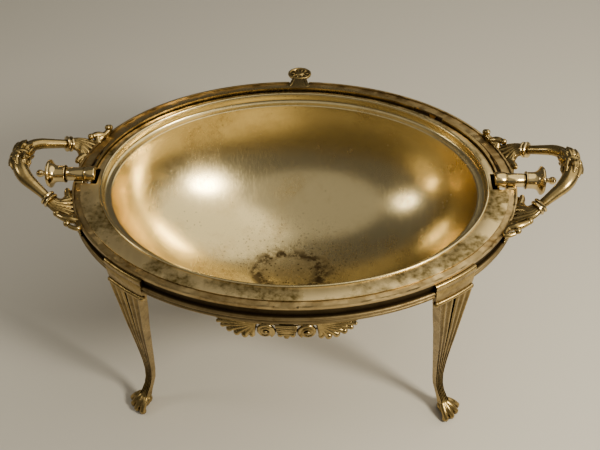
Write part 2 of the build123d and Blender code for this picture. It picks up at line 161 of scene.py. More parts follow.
def ringStack(name, rings, sides=48, end="open"):
    # a round or oval shape: one loop, extruded up through (half width X, half width Y, height) in mm
    clearAll()
    wide, deep, height = rings[0]
    bpy.ops.mesh.primitive_circle_add(vertices=sides, radius=mm, location=(0, 0, 0))
    obj = bpy.context.object
    obj.name = name
    startEdit(obj, True)
    bpy.ops.transform.resize(value=(wide, deep, 1))
    bpy.ops.transform.translate(value=(0, 0, height * mm))
    if end == "capped":
        bpy.ops.mesh.edge_face_add()
        bpy.ops.mesh.poke()
        pick(lambda v: v.co.xy.length > 0.5 * min(wide, deep) * mm)
    for nextWide, nextDeep, nextHeight in rings[1:]:
        rise = (0, 0, (nextHeight - height) * mm)
        bpy.ops.mesh.extrude_edges_move(TRANSFORM_OT_translate={"value": rise})
        bpy.ops.transform.resize(
            value=(nextWide / wide, nextDeep / deep, 1), center_override=(0, 0, nextHeight * mm))
        wide, deep, height = nextWide, nextDeep, nextHeight
    if end in ("capped", "topped"):
        bpy.ops.mesh.edge_face_add()
        bpy.ops.mesh.poke()
    endEdit()
    fixNormals(obj)
    return obj


def ovalRings(halfX, halfY, rows):
    # rows are (out from an oval of those half widths, height)
    return [(halfX + out, halfY + out, height) for out, height in rows]


def ringLoop(name, rings, sides=256):
    # a ring whose section closes on itself
    return ringStack(name, rings + [rings[0]], sides)


def bentRod(name, points, radii, sides=4, ends=True):
    # a rod along a smooth curve through mm points, its radius changing on the way
    curve = bpy.data.curves.new(name, "CURVE")
    curve.dimensions = "3D"
    curve.bevel_depth = mm
    curve.bevel_resolution = sides
    curve.resolution_u = 6
    curve.use_fill_caps = ends
    spline = curve.splines.new("NURBS")
    spline.points.add(len(points) - 1)
    for spot, point, radius in zip(spline.points, points, radii):
        spot.co = (*(Vector(point) * mm), 1)
        spot.radius = radius
    spline.order_u = 3
    spline.use_endpoint_u = True
    obj = bpy.data.objects.new(name, curve)
    bpy.context.scene.collection.objects.link(obj)
    takeOnly(obj)
    bpy.ops.object.convert(target="MESH")
    fixNormals(bpy.context.object)
    return bpy.context.object


def pebble(name, place, size, turn=None, segments=16):
    # a ball stretched to half widths in mm
    clearAll()
    bpy.ops.mesh.primitive_uv_sphere_add(segments=segments, ring_count=segments // 2, radius=mm)
    obj = bpy.context.object
    obj.name = name
    return settle(obj, place, turn, size)


def block(name, place, size):
    # a plain box of that size in mm
    clearAll()
    bpy.ops.mesh.primitive_cube_add(size=1)
    obj = bpy.context.object
    obj.name = name
    return settle(obj, place, None, [side * mm for side in size])


def softenEdges(obj, width):
    addModifier(obj, "BEVEL", width=width * mm, segments=2, limit_method="ANGLE", angle_limit=radians(50))


def cutAway(obj, cutter):
    addModifier(obj, "BOOLEAN", operation="DIFFERENCE", object=cutter, solver="EXACT")
    bpy.data.objects.remove(cutter)


def spinZ(angle):
    return Matrix.Rotation(radians(angle), 4, "Z")


def spinY(angle):
    return Matrix.Rotation(radians(angle), 4, "Y")


def fuse(obj, voxel=0.45, softness=2):
    # one closed skin over joined shapes, as a casting has
    addModifier(obj, "REMESH", mode="VOXEL", voxel_size=voxel * mm)
    addModifier(obj, "SMOOTH", factor=0.5, iterations=softness)
    smooth(obj, 60)
    return obj


print("helpers ready")


# materials
def hexColour(code):
    parts = [int(code[i:i + 2], 16) / 255 for i in (0, 2, 4)]
    linear = [c / 12.92 if c <= 0.04045 else ((c + 0.055) / 1.055) ** 2.4 for c in parts]
    return (*linear, 1)


def addNode(tree, kind, inputs={}, **settings):
    # an input is a value, another node's socket, or a node, whose first output is then linked
    node = tree.nodes.new("ShaderNode" + kind)
    for name, value in settings.items():
        if name == "stops":
            while len(node.color_ramp.elements) < len(value):
                node.color_ramp.elements.new(0.5)
            for stop, (position, level) in zip(node.color_ramp.elements, value):
                stop.position = position
                stop.color = (level, level, level, 1)
        else:
            setattr(node, name, value)
    for name, value in inputs.items():
        if isinstance(value, bpy.types.Node):
            value = value.outputs[0]
        if isinstance(value, bpy.types.NodeSocket):
            tree.links.new(value, node.inputs[name])
        else:
            node.inputs[name].default_value = value
    return node


def perMm(size):
    return 1 / (size * mm)


silverPlate = {
    "clean": "e6cf9c",       # silver plate over nickel silver, gone warm with age
    "tarnish": "a5834a",     # thin sulphide film
    "oxide": "3a2c17",       # dark oxide for pits; also laid into hollows and gaps by the recess mask as painted shade
    "tarnishFrom": 0.50, "tarnishTo": 0.72, "tarnishPatch": 38,
    "recessReach": 2.5, "recessDark": 0.0, "recessFrom": 0.42, "recessTo": 0.88,
    "roughness": 0.22, "tarnishRoughness": 0.16,
    "scratches": 0.5, "speckSize": 5.0, "specks": 0.25,
    "bump": 0.012,
}


def platedSilver(name, changes={}, extra=None):
    look = dict(silverPlate, **changes)
    material = bpy.data.materials.new(name)
    material.use_nodes = True
    tree = material.node_tree
    tree.nodes.clear()
    place = addNode(tree, "TexCoord").outputs["Object"]
    # broad patches of tarnish
    patch = addNode(tree, "TexNoise", {
        "Vector": place, "Scale": perMm(look["tarnishPatch"]), "Detail": 6.0, "Roughness": 0.62})
    film = addNode(tree, "ValToRGB", {"Fac": patch}, stops=[
        (look["tarnishFrom"], 0.0), (look["tarnishTo"], 1.0)])
    fine = addNode(tree, "TexNoise", {"Vector": place, "Scale": perMm(3.5), "Detail": 4.0})
    filmFine = addNode(tree, "Math", {0: film, 1: fine}, operation="MULTIPLY")
    filmLevel = addNode(tree, "Math", {0: filmFine, 1: 1.5}, operation="MULTIPLY", use_clamp=True)
    colour = addNode(tree, "Mix", {
        0: filmLevel, 6: hexColour(look["clean"]), 7: hexColour(look["tarnish"])},
        data_type="RGBA").outputs[2]
    # wiping scratches in two directions, drawn coarser than real ones so that they show
    lines = []
    for turnZ, grain in ((0.5, 1.3), (-0.9, 1.7)):
        drawn = addNode(tree, "Mapping", {
            "Vector": place, "Rotation": (0.2, 0.1, turnZ), "Scale": (1.0, 0.035, 0.3)})
        streak = addNode(tree, "TexNoise", {"Vector": drawn, "Scale": perMm(grain), "Detail": 3.0})
        lines.append(addNode(tree, "ValToRGB", {"Fac": streak}, stops=[(0.52, 0.0), (0.72, 1.0)]))
    scratch = addNode(tree, "Math", {0: lines[0], 1: lines[1]}, operation="MAXIMUM")
    # pitted specks where the plate has gone
    cells = addNode(tree, "TexVoronoi", {
        "Vector": place, "Scale": perMm(look["speckSize"]), "Randomness": 1.0})
    dots = addNode(tree, "ValToRGB", {"Fac": cells}, stops=[(0.05, 1.0), (0.16, 0.0)])
    speckField = addNode(tree, "TexNoise", {"Vector": place, "Scale": perMm(30), "Detail": 3.0})
    speckArea = addNode(tree, "ValToRGB", {"Fac": speckField}, stops=[(0.45, 0.0), (0.65, 1.0)])
    speckDots = addNode(tree, "Math", {0: dots, 1: speckArea}, operation="MULTIPLY")
    speck = addNode(tree, "Math", {0: speckDots, 1: look["specks"]}, operation="MULTIPLY")
    oxide = hexColour(look["oxide"])
    colour = addNode(tree, "Mix", {0: speck, 6: colour, 7: oxide}, data_type="RGBA").outputs[2]
    # painted shade: an ambient occlusion mask darkens hollows and the gaps between parts towards the dark
    # oxide colour, standing for shade as well as oxide
    if look["recessDark"] > 0:
        openness = addNode(tree, "AmbientOcclusion", {"Distance": look["recessReach"] * mm}, samples=8)
        deep = addNode(tree, "ValToRGB", {"Fac": openness.outputs["AO"]}, stops=[
            (look["recessFrom"], look["recessDark"]), (look["recessTo"], 0.0)])
        colour = addNode(tree, "Mix", {0: deep, 6: colour, 7: oxide}, data_type="RGBA").outputs[2]
    rough = addNode(tree, "Math", {0: filmLevel, 1: look["tarnishRoughness"], 2: look["roughness"]},
                    operation="MULTIPLY_ADD")
    rough = addNode(tree, "Math", {0: scratch, 1: 0.12 * look["scratches"], 2: rough},
                    operation="MULTIPLY_ADD")
    if extra:
        colour, rough = extra(tree, place, colour, rough, look)
    ripple = addNode(tree, "TexNoise", {"Vector": place, "Scale": perMm(14), "Detail": 2.0})
    rippleBump = addNode(tree, "Bump", {"Height": ripple, "Strength": 0.25, "Distance": 0.15 * mm})
    grain = addNode(tree, "Math", {0: scratch, 1: fine}, operation="ADD")
    bump = addNode(tree, "Bump", {
        "Height": grain, "Strength": 0.35 * look["scratches"], "Distance": look["bump"] * mm,
        "Normal": rippleBump})
    shader = addNode(tree, "BsdfPrincipled", {
        "Base Color": colour, "Metallic": 1.0, "Roughness": rough, "Normal": bump})
    addNode(tree, "OutputMaterial", {"Surface": shader})
    return material


panStain = {
    "middle": (-4, -8), "ring": 30, "stretch": 0.8, "brown": "2c1b0a",
    "fieldReach": 80, "pits": 3.2,
}


def stainedFloor(tree, place, colour, rough, look):
    # a scorched ring where a burner or a dish stood, and a field of dark pits round it
    across, along = panStain["middle"]
    flat = addNode(tree, "Mapping", {
        "Vector": place, "Location": (-across * mm, -(middleY + along) * mm, 0),
        "Scale": (1.0, 1.0, 0.0)})
    wobble = addNode(tree, "TexNoise", {"Vector": place, "Scale": perMm(16), "Detail": 5.0})
    wobbled = addNode(tree, "VectorMath", {0: wobble.outputs["Color"], 1: (0.5, 0.5, 0.5)},
                      operation="SUBTRACT")
    pushed = addNode(tree, "VectorMath", {0: wobbled, "Scale": 14 * mm}, operation="SCALE")
    shifted = addNode(tree, "VectorMath", {0: flat, 1: pushed}, operation="ADD")
    oval = addNode(tree, "VectorMath", {0: shifted, 1: (1.0, 1 / panStain["stretch"], 0.0)},
                   operation="MULTIPLY")
    reach = addNode(tree, "VectorMath", {0: oval}, operation="LENGTH").outputs["Value"]
    inRings = addNode(tree, "Math", {0: reach, 1: perMm(panStain["ring"] * 2)}, operation="MULTIPLY")
    ring = addNode(tree, "ValToRGB", {"Fac": inRings}, stops=[
        (0.0, 0.45), (0.30, 0.35), (0.42, 0.95), (0.52, 0.8), (0.62, 0.2), (0.95, 0.0)])
    breakUp = addNode(tree, "TexNoise", {
        "Vector": place, "Scale": perMm(7), "Detail": 6.0, "Roughness": 0.7})
    broken = addNode(tree, "ValToRGB", {"Fac": breakUp}, stops=[(0.34, 0.0), (0.52, 1.0)])
    level = addNode(tree, "Math", {0: ring, 1: broken}, operation="MULTIPLY")
    colour = addNode(tree, "Mix", {0: level, 6: colour, 7: hexColour(panStain["brown"])},
                     data_type="RGBA").outputs[2]
    rough = addNode(tree, "Math", {0: level, 1: 0.3, 2: rough}, operation="MULTIPLY_ADD")
    near = addNode(tree, "Math", {0: reach, 1: perMm(panStain["fieldReach"])}, operation="MULTIPLY")
    field = addNode(tree, "ValToRGB", {"Fac": near}, stops=[(0.2, 1.0), (1.0, 0.0)])
    cells = addNode(tree, "TexVoronoi", {
        "Vector": place, "Scale": perMm(panStain["pits"]), "Randomness": 1.0})
    pits = addNode(tree, "ValToRGB", {"Fac": cells}, stops=[(0.17, 0.95), (0.32, 0.0)])
    clumps = addNode(tree, "ValToRGB", {"Fac": breakUp}, stops=[(0.42, 0.0), (0.52, 1.0)])
    pitLevel = addNode(tree, "Math", {0: pits, 1: field}, operation="MULTIPLY")
    pitClump = addNode(tree, "Math", {0: pitLevel, 1: clumps}, operation="MULTIPLY")
    colour = addNode(tree, "Mix", {0: pitClump, 6: colour, 7: hexColour(look["oxide"])},
                     data_type="RGBA").outputs[2]
    return colour, rough


# painted shadow of the flange on the wall below it, lighter on the moulding's ridges
flangeShadowOnWall = {"from": 186.2, "to": 187.2, "amount": 0.92, "ridgeFrom": 1.6, "ridgeTo": 3.0, "oxide": "2b2010"}


def paintFlangeShadow(tree, place, colour, rough, look):
    # painted shadow: brown-black darkening of the wall under the flange, weaker on the moulding's ridges,
    # which catch light
    parts = addNode(tree, "SeparateXYZ", {"Vector": place}).outputs
    rise = addNode(tree, "MapRange", {
        "Value": parts["Z"], "From Min": flangeShadowOnWall["from"] * mm, "From Max": flangeShadowOnWall["to"] * mm,
        "To Min": flangeShadowOnWall["amount"], "To Max": 0.0})
    acrossX = addNode(tree, "Math", {0: parts["X"], 1: frameX / frameY}, operation="DIVIDE")
    fromMiddle = addNode(tree, "Math", {0: parts["Y"], 1: middleY * mm}, operation="SUBTRACT")
    flat = addNode(tree, "CombineXYZ", {"X": acrossX, "Y": fromMiddle})
    reach = addNode(tree, "VectorMath", {0: flat}, operation="LENGTH").outputs["Value"]
    wallFace = frameY - wallInset
    # the moulding's ridges keep less of the painted shadow
    ridgeShadowFade = addNode(tree, "MapRange", {
        "Value": reach, "From Min": (wallFace + flangeShadowOnWall["ridgeFrom"]) * mm,
        "From Max": (wallFace + flangeShadowOnWall["ridgeTo"]) * mm, "To Min": 1.0, "To Max": 0.45})
    level = addNode(tree, "Math", {0: rise, 1: ridgeShadowFade}, operation="MULTIPLY")
    colour = addNode(tree, "Mix", {0: level, 6: colour, 7: hexColour(flangeShadowOnWall["oxide"])},
                     data_type="RGBA").outputs[2]
    rough = addNode(tree, "Math", {0: level, 1: 0.12, 2: rough}, operation="MULTIPLY_ADD")
    return colour, rough


# spun and hand-wiped: soft streaks, a scorched floor
panSilver = platedSilver("stainedSpunSilverPlate", {
    "clean": "e0cd9a", "tarnish": "a98f5b", "roughness": 0.2, "scratches": 0.35, "specks": 0.7,
    "tarnishFrom": 0.46, "tarnishTo": 0.8}, stainedFloor)
# rolled flange: patchy film at the front, where hands and steam reach it, with painted shade in the gaps
# round it
flangeSilver = platedSilver("tarnishedFlangeSilverPlate", {
    "clean": "e4cd98", "tarnish": "64552d", "tarnishFrom": 0.46, "tarnishTo": 0.56, "tarnishPatch": 32,
    "roughness": 0.38, "tarnishRoughness": 0.1, "scratches": 0.6, "specks": 0.7,
    "recessDark": 0.95, "recessReach": 4.0, "recessFrom": 0.3, "recessTo": 0.6})
# drawn band and moulding: duller and darker, the darkness partly painted shade, with painted shade in the
# hollows and under the flange
bandSilver = platedSilver("dullDrawnSilverPlate", {
    "clean": "c8b07e", "tarnish": "735a30", "tarnishFrom": 0.4, "tarnishTo": 0.66, "roughness": 0.34,
    "recessDark": 0.9, "recessReach": 6.0, "recessFrom": 0.34, "recessTo": 0.72}, paintFlangeShadow)
# cast and chased: bright on the high parts, black in the hollows from painted shade and oxide
castSilver = platedSilver("chasedCastSilverPlate", {
    "clean": "b8a06a", "tarnish": "6f5a30", "tarnishFrom": 0.40, "tarnishTo": 0.7, "tarnishPatch": 14,
    "roughness": 0.22, "recessDark": 0.97, "recessReach": 4.0, "recessFrom": 0.5, "recessTo": 0.92,
    "specks": 0.1, "scratches": 0.3})
# the legs: the same casting, darker all over as painted shade and heavier tarnish, with broad flutes that
# stay dark from painted shade and oxide
legSilver = platedSilver("flutedLegSilverPlate", {
    "clean": "ab935f", "tarnish": "62502b", "tarnishFrom": 0.45, "tarnishTo": 0.75, "tarnishPatch": 14,
    "roughness": 0.26, "recessDark": 0.97, "recessReach": 6.0, "recessFrom": 0.58, "recessTo": 0.97,
    "specks": 0.1, "scratches": 0.3})
# turned: rings from the tool, well rubbed, with painted shade in the grooves
turnedSilver = platedSilver("turnedSilverPlate", {
    "clean": "d9c18a", "tarnish": "8d6f3c", "roughness": 0.17, "recessDark": 0.85, "recessReach": 2.0,
    "specks": 0.05, "scratches": 0.3})
# the lid's plate: thin film all over, little rubbing
lidSilver = platedSilver("tarnishedLidSilverPlate", {
    "clean": "cdb37a", "tarnish": "76592b", "tarnishFrom": 0.38, "tarnishTo": 0.7, "roughness": 0.24})
pinSteel = platedSilver("turnedPinSteel", {
    "clean": "b9b6b0", "tarnish": "7c7468", "roughness": 0.3, "specks": 0.1})
# bare brass screws, with painted shade in their hollows
bareBrass = platedSilver("bareScrewBrass", {
    "clean": "c9a25a", "tarnish": "7a5a26", "roughness": 0.32, "recessDark": 0.6})
print("materials ready")


def paint(obj, material):
    obj.data.materials.clear()
    obj.data.materials.append(material)


def finish(obj, material, body, nodes=()):
    paint(obj, material)
    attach(obj, body)
    if nodes:
        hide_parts(*nodes)
    return obj


middle = (0, middleY, 0)

# pan: collar, ledge and bowl in one spun piece
pan = {
    "rimX": panHigh[0] - 1.4, "rimY": (panHigh[1] - panLow[1]) / 2 - 1.4, "wall": 1.4,
    "ledgeWidth": 6.0, "ledgeDrop": 6.0, "bowlLift": 4.0, "sheet": 1.2, "sides": 256, "steps": 40,
}
panTop = panHigh[2]
ledgeZ = flangeTop - pan["ledgeDrop"]
bowlX, bowlY = pan["rimX"] - pan["ledgeWidth"], pan["rimY"] - pan["ledgeWidth"]
bowlZ = ledgeZ + pan["bowlLift"]
firstAngle = degrees(atan2(pan["bowlLift"], sqrt(bowlY ** 2 - pan["bowlLift"] ** 2)))


def bowlRings(thick, down):
    rings = []
    for step in range(pan["steps"]):
        share = step / (pan["steps"] - 1)
        angle = radians(firstAngle + (89.2 - firstAngle) * (share if down else 1 - share))
        rings.append(((bowlX + thick) * cos(angle), (bowlY + thick) * cos(angle),
                      bowlZ - (bowlY + thick) * sin(angle)))
    return rings


rimX, rimY, wall = pan["rimX"], pan["rimY"], pan["wall"]
lip = pan["ledgeWidth"]
inside = ovalRings(rimX, rimY, [
    (wall, panTop - 0.2), (wall - 0.2, panTop), (0.3, panTop), (0, panTop - 0.3), (0, ledgeZ + 2.4),
    (-0.4, ledgeZ + 1.2), (-1.2, ledgeZ + 0.5), (-2.4, ledgeZ + 0.15), (-4.6, ledgeZ),
    (0.7 - lip, ledgeZ - 0.1), (0.2 - lip, ledgeZ - 0.5)])
panInner = ringStack("panBowl", inside + bowlRings(0, True)[1:], pan["sides"], "topped")
outside = ovalRings(rimX, rimY, [
    (wall, panTop - 0.2), (wall, ledgeZ - pan["sheet"]), (2.4 - lip, ledgeZ - pan["sheet"])])
panOuter = ringStack("panOuter", outside + bowlRings(pan["sheet"], True)[1:], pan["sides"], "topped")
panBowl = join("panBowl", [panInner, panOuter])
fixNormals(panBowl, 0.01)
smooth(settle(panBowl, middle), 40)
finish(panBowl, panSilver, "frame", ["pan_bowl"])
print("pan bowl made")

# half-round wire on the collar
wire = {"radius": 1.1, "turns": 8}
wireRows = []
for step in range(wire["turns"] + 1):
    angle = pi * step / wire["turns"]
    wireRows.append((wire["radius"] * (1 - cos(angle)), panTop + wire["radius"] * sin(angle)))
rimWire = ringLoop("panRimWire", ovalRings(rimX, rimY, wireRows))
smooth(settle(rimWire, middle), 50)
finish(rimWire, panSilver, "frame", ["pan_rim_wire"])

# flange round the pan: wide in front of the pivots, narrow behind
flange = {"backX": 153.8, "backY": 109.0, "lugX": 150.0, "gapWide": 30, "start": 8.5, "round": 0.25}
flangeX, flangeY, flangeZ = flangeHigh[0], middleY - flangeLow[1], flangeHigh[2]
innerX, innerY = rimX + wall, rimY + wall
panFlange = ringLoop("panFlange", [
    (flangeX, flangeY, flangeTop), (flangeX, flangeY, flangeZ), (innerX, innerY, flangeZ),
    (innerX, innerY, flangeTop)])
low, high = flangeTop - 2, flangeZ + 2
backX, backY, past = flange["backX"], flange["backY"], 250
waste = ringLoop("flangeWaste", [
    (past, past, low), (past, past, high), (backX, backY, high), (backX, backY, low)])
startEdit(waste, True)
bpy.ops.mesh.bisect(
    plane_co=(0, -flange["start"] * mm, 0), plane_no=(0, -1, 0), clear_outer=True, use_fill=True)
endEdit()
fixNormals(waste)
cutAway(panFlange, waste)
for sideX in (-1, 1):
    cutAway(panFlange, block(
        "lugGap", (sideX * (flange["lugX"] + flange["gapWide"] / 2), 0, (low + high) / 2),
        (flange["gapWide"], 2 * flange["start"], high - low)))
fixNormals(panFlange)
softenEdges(panFlange, flange["round"])
smooth(settle(panFlange, middle), 40)
finish(panFlange, flangeSilver, "frame", ["pan_flange"])
print("pan rim made")

# frame band, with the gaps in its lip and the seats of the bearings
band = {"wall": 1.5, "flange": 8.0, "thick": 1.5, "lip": 1.0, "lipWide": 1.5, "notch": (17, 10, 2),
        "seat": (24, 14, 15), "seatLift": 0.5, "round": 0.25, "sides": 320}
wallOut, wallIn = -wallInset, -wallInset - band["wall"]
underFlange, lipTop = flangeTop - band["thick"], flangeTop + band["lip"]
frameBand = ringLoop("frameBand", ovalRings(frameX, frameY, [
    (wallIn, bandLow[2]), (wallOut, bandLow[2]), (wallOut, underFlange), (0, underFlange), (0, lipTop),
    (-band["lipWide"], lipTop), (-band["lipWide"], flangeTop), (-band["flange"], flangeTop),
    (-band["flange"], underFlange), (wallIn, underFlange)]), band["sides"])
cutters = []
for side in (-1, 1):
    cutters.append(block("lipGap", (0, side * frameY, flangeTop + band["lip"]), band["notch"]))
for side in (-1, 1):
    cutters.append(block("bearingSeat", (side * frameX, 0, flangeTop + band["seatLift"]), band["seat"]))
cutAway(frameBand, join("bandCutter", cutters))
softenEdges(frameBand, band["round"])
smooth(settle(frameBand, middle), 40)
finish(frameBand, bandSilver, "frame", ["frame_band"])
print("frame band made")

# moulding: two beads with a quirk between
mould = {"bead": 3.3, "turns": 8}
mouldRows = [(0, mouldLow[2])]
for bead in range(2):
    low = mouldLow[2] + bead * mould["bead"]
    for step in range(mould["turns"] + 1):
        angle = pi * step / mould["turns"]
        out = 0.35 * mould["bead"] + 0.65 * mould["bead"] * sin(angle)
        mouldRows.append((out, low + mould["bead"] * (1 - cos(angle)) / 2))
mouldRows.append((0, mouldHigh[2]))
moulding = ringLoop("frameMoulding", ovalRings(frameX + wallOut, frameY + wallOut, mouldRows))
smooth(settle(moulding, middle), 50)
finish(moulding, bandSilver, "frame", ["frame_moulding"])
print("moulding made")

# lid: half of a spun ellipsoid, its open edge level in front and a hair over the pivots behind
lid = {
    "longHalf": 156.0, "round": 112.5, "wall": 1.4, "backRise": 0.5, "frontGap": 0.4,
    "notchAt": 108.2, "notch": (22, 170, 16), "segments": 224, "rings": 96,
}
clearAll()
bpy.ops.mesh.primitive_uv_sphere_add(segments=lid["segments"], ring_count=lid["rings"], radius=mm)
lidDome = bpy.context.object
lidDome.name = "lidDome"
settle(lidDome, (0, 0, 0), spinY(90), (lid["round"], lid["round"], lid["longHalf"]))
settle(lidDome, (0, middleY, axisZ))
rise = radians(lid["backRise"])
startEdit(lidDome, True)
bpy.ops.mesh.bisect(
    plane_co=(0, middleY * mm, axisZ * mm), plane_no=(0, -sin(rise), cos(rise)), clear_outer=True)
pick(lambda f: f.calc_center_median().y < middleY * mm, "faces")
bpy.ops.mesh.bisect(
    plane_co=(0, middleY * mm, (flangeTop - lid["frontGap"]) * mm), plane_no=(0, 0, 1), clear_outer=True)
endEdit()
fixNormals(lidDome)
addModifier(lidDome, "SOLIDIFY", thickness=lid["wall"] * mm, offset=-1)
cutAway(lidDome, block("spoonNotch", (lid["notchAt"], middleY + lid["round"], axisZ), lid["notch"]))
fixNormals(lidDome)
smooth(lidDome, 40)
finish(lidDome, lidSilver, "lid", ["lid_dome"])
print("lid made")


# pivots: turned pieces along X, drawn for the right end and mirrored for the left
def turnedPart(name, profile, sides=72):
    # profile rows are (place along X, radius)
    part = ringStack(name, [(radius, radius, along) for along, radius in profile], sides, "capped")
    settle(part, (0, middleY, axisZ), spinY(90))
    smooth(part, 38)
    return part


def bothEnds(part, name, material, node, bodies=("frame", "frame")):
    twin = copyOf(part, name + "Left", (-1, 1, 1))
    part.name = name + "Right"
    finish(twin, material, bodies[0], [node + "_left"])
    finish(part, material, bodies[1], [node + "_right"])


lugProfile = [
    (152.0, 5.4), (152.3, 5.9), (152.8, 6.1), (159.4, 6.1), (159.7, 5.9), (159.9, 5.5), (160.2, 5.5),
    (160.4, 5.8), (160.6, 5.8), (160.7, 5.5),
]
lugPiece = turnedPart("lug", lugProfile)
bothEnds(lugPiece, "lidLug", turnedSilver, "lid_lug", ("lid", "lid"))

bearing = {"from": 161.0, "footWide": 14.0, "footLow": 181.0, "footDrop": 2.2, "footShort": 0.4,
           "round": 0.8}
bearingProfile = [
    (161.0, 4.6), (161.1, 5.2), (161.4, 5.3), (173.2, 5.3), (173.5, 5.1), (173.7, 4.8), (174.1, 4.8),
    (174.3, 5.1), (174.5, 4.8),
]
bearingTube = turnedPart("bearingTube", bearingProfile)
footHigh = axisZ - bearing["footDrop"]
bearingFoot = block(
    "foot", ((bearing["from"] + frameX) / 2, middleY, (bearing["footLow"] + footHigh) / 2),
    (frameX - bearing["from"] - bearing["footShort"], bearing["footWide"], footHigh - bearing["footLow"]))
addModifier(bearingFoot, "BEVEL", width=bearing["round"] * mm, segments=3)
smooth(bearingFoot, 40)
bearingPiece = join("bearing", [bearingTube, bearingFoot])
bothEnds(bearingPiece, "bearing", turnedSilver, "bearing")

# ball, neck, dished double-rimmed flange and ringed barrel
nutProfile = [
    (174.8, 5.4), (174.9, 6.6), (175.2, 6.9), (175.7, 6.9), (176.0, 6.6), (176.2, 6.4), (180.2, 6.4),
    (181.8, 6.5), (183.0, 6.9), (184.2, 7.7), (185.2, 8.9), (185.9, 10.2), (186.3, 10.8), (186.8, 11.0),
    (187.3, 10.9), (187.6, 10.5), (187.8, 10.2), (188.1, 10.3), (188.4, 10.1), (188.4, 9.7), (187.5, 8.9),
    (186.8, 7.4), (186.6, 5.6), (187.0, 4.4), (187.9, 3.9), (188.6, 3.8), (189.0, 3.3), (189.5, 2.4),
    (190.4, 1.9), (191.6, 1.8), (192.6, 1.8),
]
ball = {"at": 195.4, "radius": 3.0, "turns": 12}
for step in range(1, ball["turns"]):
    angle = radians(40 + 140 * step / ball["turns"])
    nutProfile.append((ball["at"] - ball["radius"] * cos(angle), max(ball["radius"] * sin(angle), 0.3)))
nutPiece = turnedPart("nut", nutProfile, 96)
bothEnds(nutPiece, "thumbNut", turnedSilver, "thumb_nut", ("nut_left", "nut_right"))
for side in ("left", "right"):
    paint(frame["nodes"]["pivot_pin_" + side], pinSteel)
print("pivots made")

# handles: a bowed tube with a leafed knot, in a plane that rises outwards
handle = {
    "rootX": 181.5, "rootY": 30.0, "rootZ": 195.4, "tilt": 28.9, "slant": 28.9, "reach": 27.4,
    "gripEnd": 3.4, "gripFront": 5.8, "gripBack": 4.5,
}
cornerReach = handle["rootY"] / (sin(radians(handle["slant"])) / cos(radians(handle["slant"])))
bendRadius = (cornerReach - handle["reach"]) / (1 / sin(radians(handle["slant"])) - 1)
bendMiddle = handle["reach"] - bendRadius


def inHandle(reach, across, rise=0.0):
    # a place in the handle's tilted plane, measured from the oval's centre line
    tilt = radians(handle["tilt"])
    return (handle["rootX"] + reach * cos(tilt) - rise * sin(tilt), middleY + across,
            handle["rootZ"] + reach * sin(tilt) + rise * cos(tilt))


gripPoints, gripRadii = [], []
sweepAngle = 90 - handle["slant"]
armLength = 16.4
slantX, slantY = cos(radians(handle["slant"])), sin(radians(handle["slant"]))
for step in range(5):
    along = armLength * step / 4
    gripPoints.append((along * slantX, -handle["rootY"] + along * slantY))
for step in range(1, 20):
    angle = radians(-sweepAngle + 2 * sweepAngle * step / 20)
    gripPoints.append((bendMiddle + bendRadius * cos(angle), bendRadius * sin(angle)))
for step in range(4, -1, -1):
    along = armLength * step / 4
    gripPoints.append((along * slantX, handle["rootY"] - along * slantY))
for index in range(len(gripPoints)):
    share = 1 - abs(index / (len(gripPoints) - 1) - 0.5) * 2
    swell = sin(pi / 2 * min(1, share / 0.62)) ** 1.4
    fullest = handle["gripFront"] if index < len(gripPoints) / 2 else handle["gripBack"]
    gripRadii.append(handle["gripEnd"] + (fullest - handle["gripEnd"]) * swell)
grip = bentRod("grip", [inHandle(*point) for point in gripPoints], gripRadii, 7)
smooth(grip, 60)


def onBow(angle, out, around):
    # a place on the bow at that angle from its middle, out from the tube's line at an angle round it
    reach = bendMiddle + (bendRadius + out * cos(radians(around))) * cos(radians(angle))
    across = (bendRadius + out * cos(radians(around))) * sin(radians(angle))
    return inHandle(reach, across, out * sin(radians(around)))


knotLobes = []
for step in range(7):
    angle = -16.5 + 5.5 * step
    knotLobes.append(pebble("core", onBow(angle, 0, 0), (5.6, 5.6, 5.6), None, 18))
for side in (-1, 1):
    for leaf in range(6):
        # pointed leaves that lie along the tube away from the middle, their tips curling out
        around = 60 * leaf + (30 if side > 0 else 0)
        rows = ((6, 4.6, 2.4), (13, 5.6, 2.3), (20, 5.6, 2.0), (25, 5.3, 1.5), (29, 5.4, 1.0))
        points = [onBow(side * angle, out, around + 10 * side) for angle, out, _ in rows]
        knotLobes.append(bentRod("leaf", points, [row[2] for row in rows], 3))
        vein = [onBow(side * angle, out, around + 40)
                for angle, out in ((2, 5.9), (9, 6.9), (16, 7.2), (21, 7.5))]
        knotLobes.append(bentRod("leaf", vein, [1.5, 1.4, 1.2, 0.7], 3))
# a scroll rolled round the middle, ending in balls on the upper inner side
scroll = [onBow(-9 + 18 * step / 15, 6.1, -60 + 300 * step / 15) for step in range(16)]
knotLobes.append(bentRod("scroll", scroll, [1.7] * 16, 3))
for angle, around in ((-11, 120), (10, 150), (-13, 60), (14, 75)):
    knotLobes.append(pebble("bud", onBow(angle, 6.1, around), (2.1, 2.1, 2.1)))
knot = fuse(join("knot", knotLobes), 0.4, 2)
gripPiece = join("grip", [grip, knot])
bothEnds(gripPiece, "handleGrip", castSilver, "handle_grip")


def alongArm(part, side):
    # stands a turned piece (drawn up Z) on one arm's end, pointing out along the arm; side is -1 in front
    slant, tilt = radians(handle["slant"]), radians(handle["tilt"])
    outward = Vector((cos(tilt), 0, sin(tilt)))
    along = outward * cos(slant) + Vector((0, -side * sin(slant), 0))
    turn = Vector((0, 0, 1)).rotation_difference(along).to_matrix().to_4x4()
    return settle(part, inHandle(0, side * handle["rootY"]), turn)


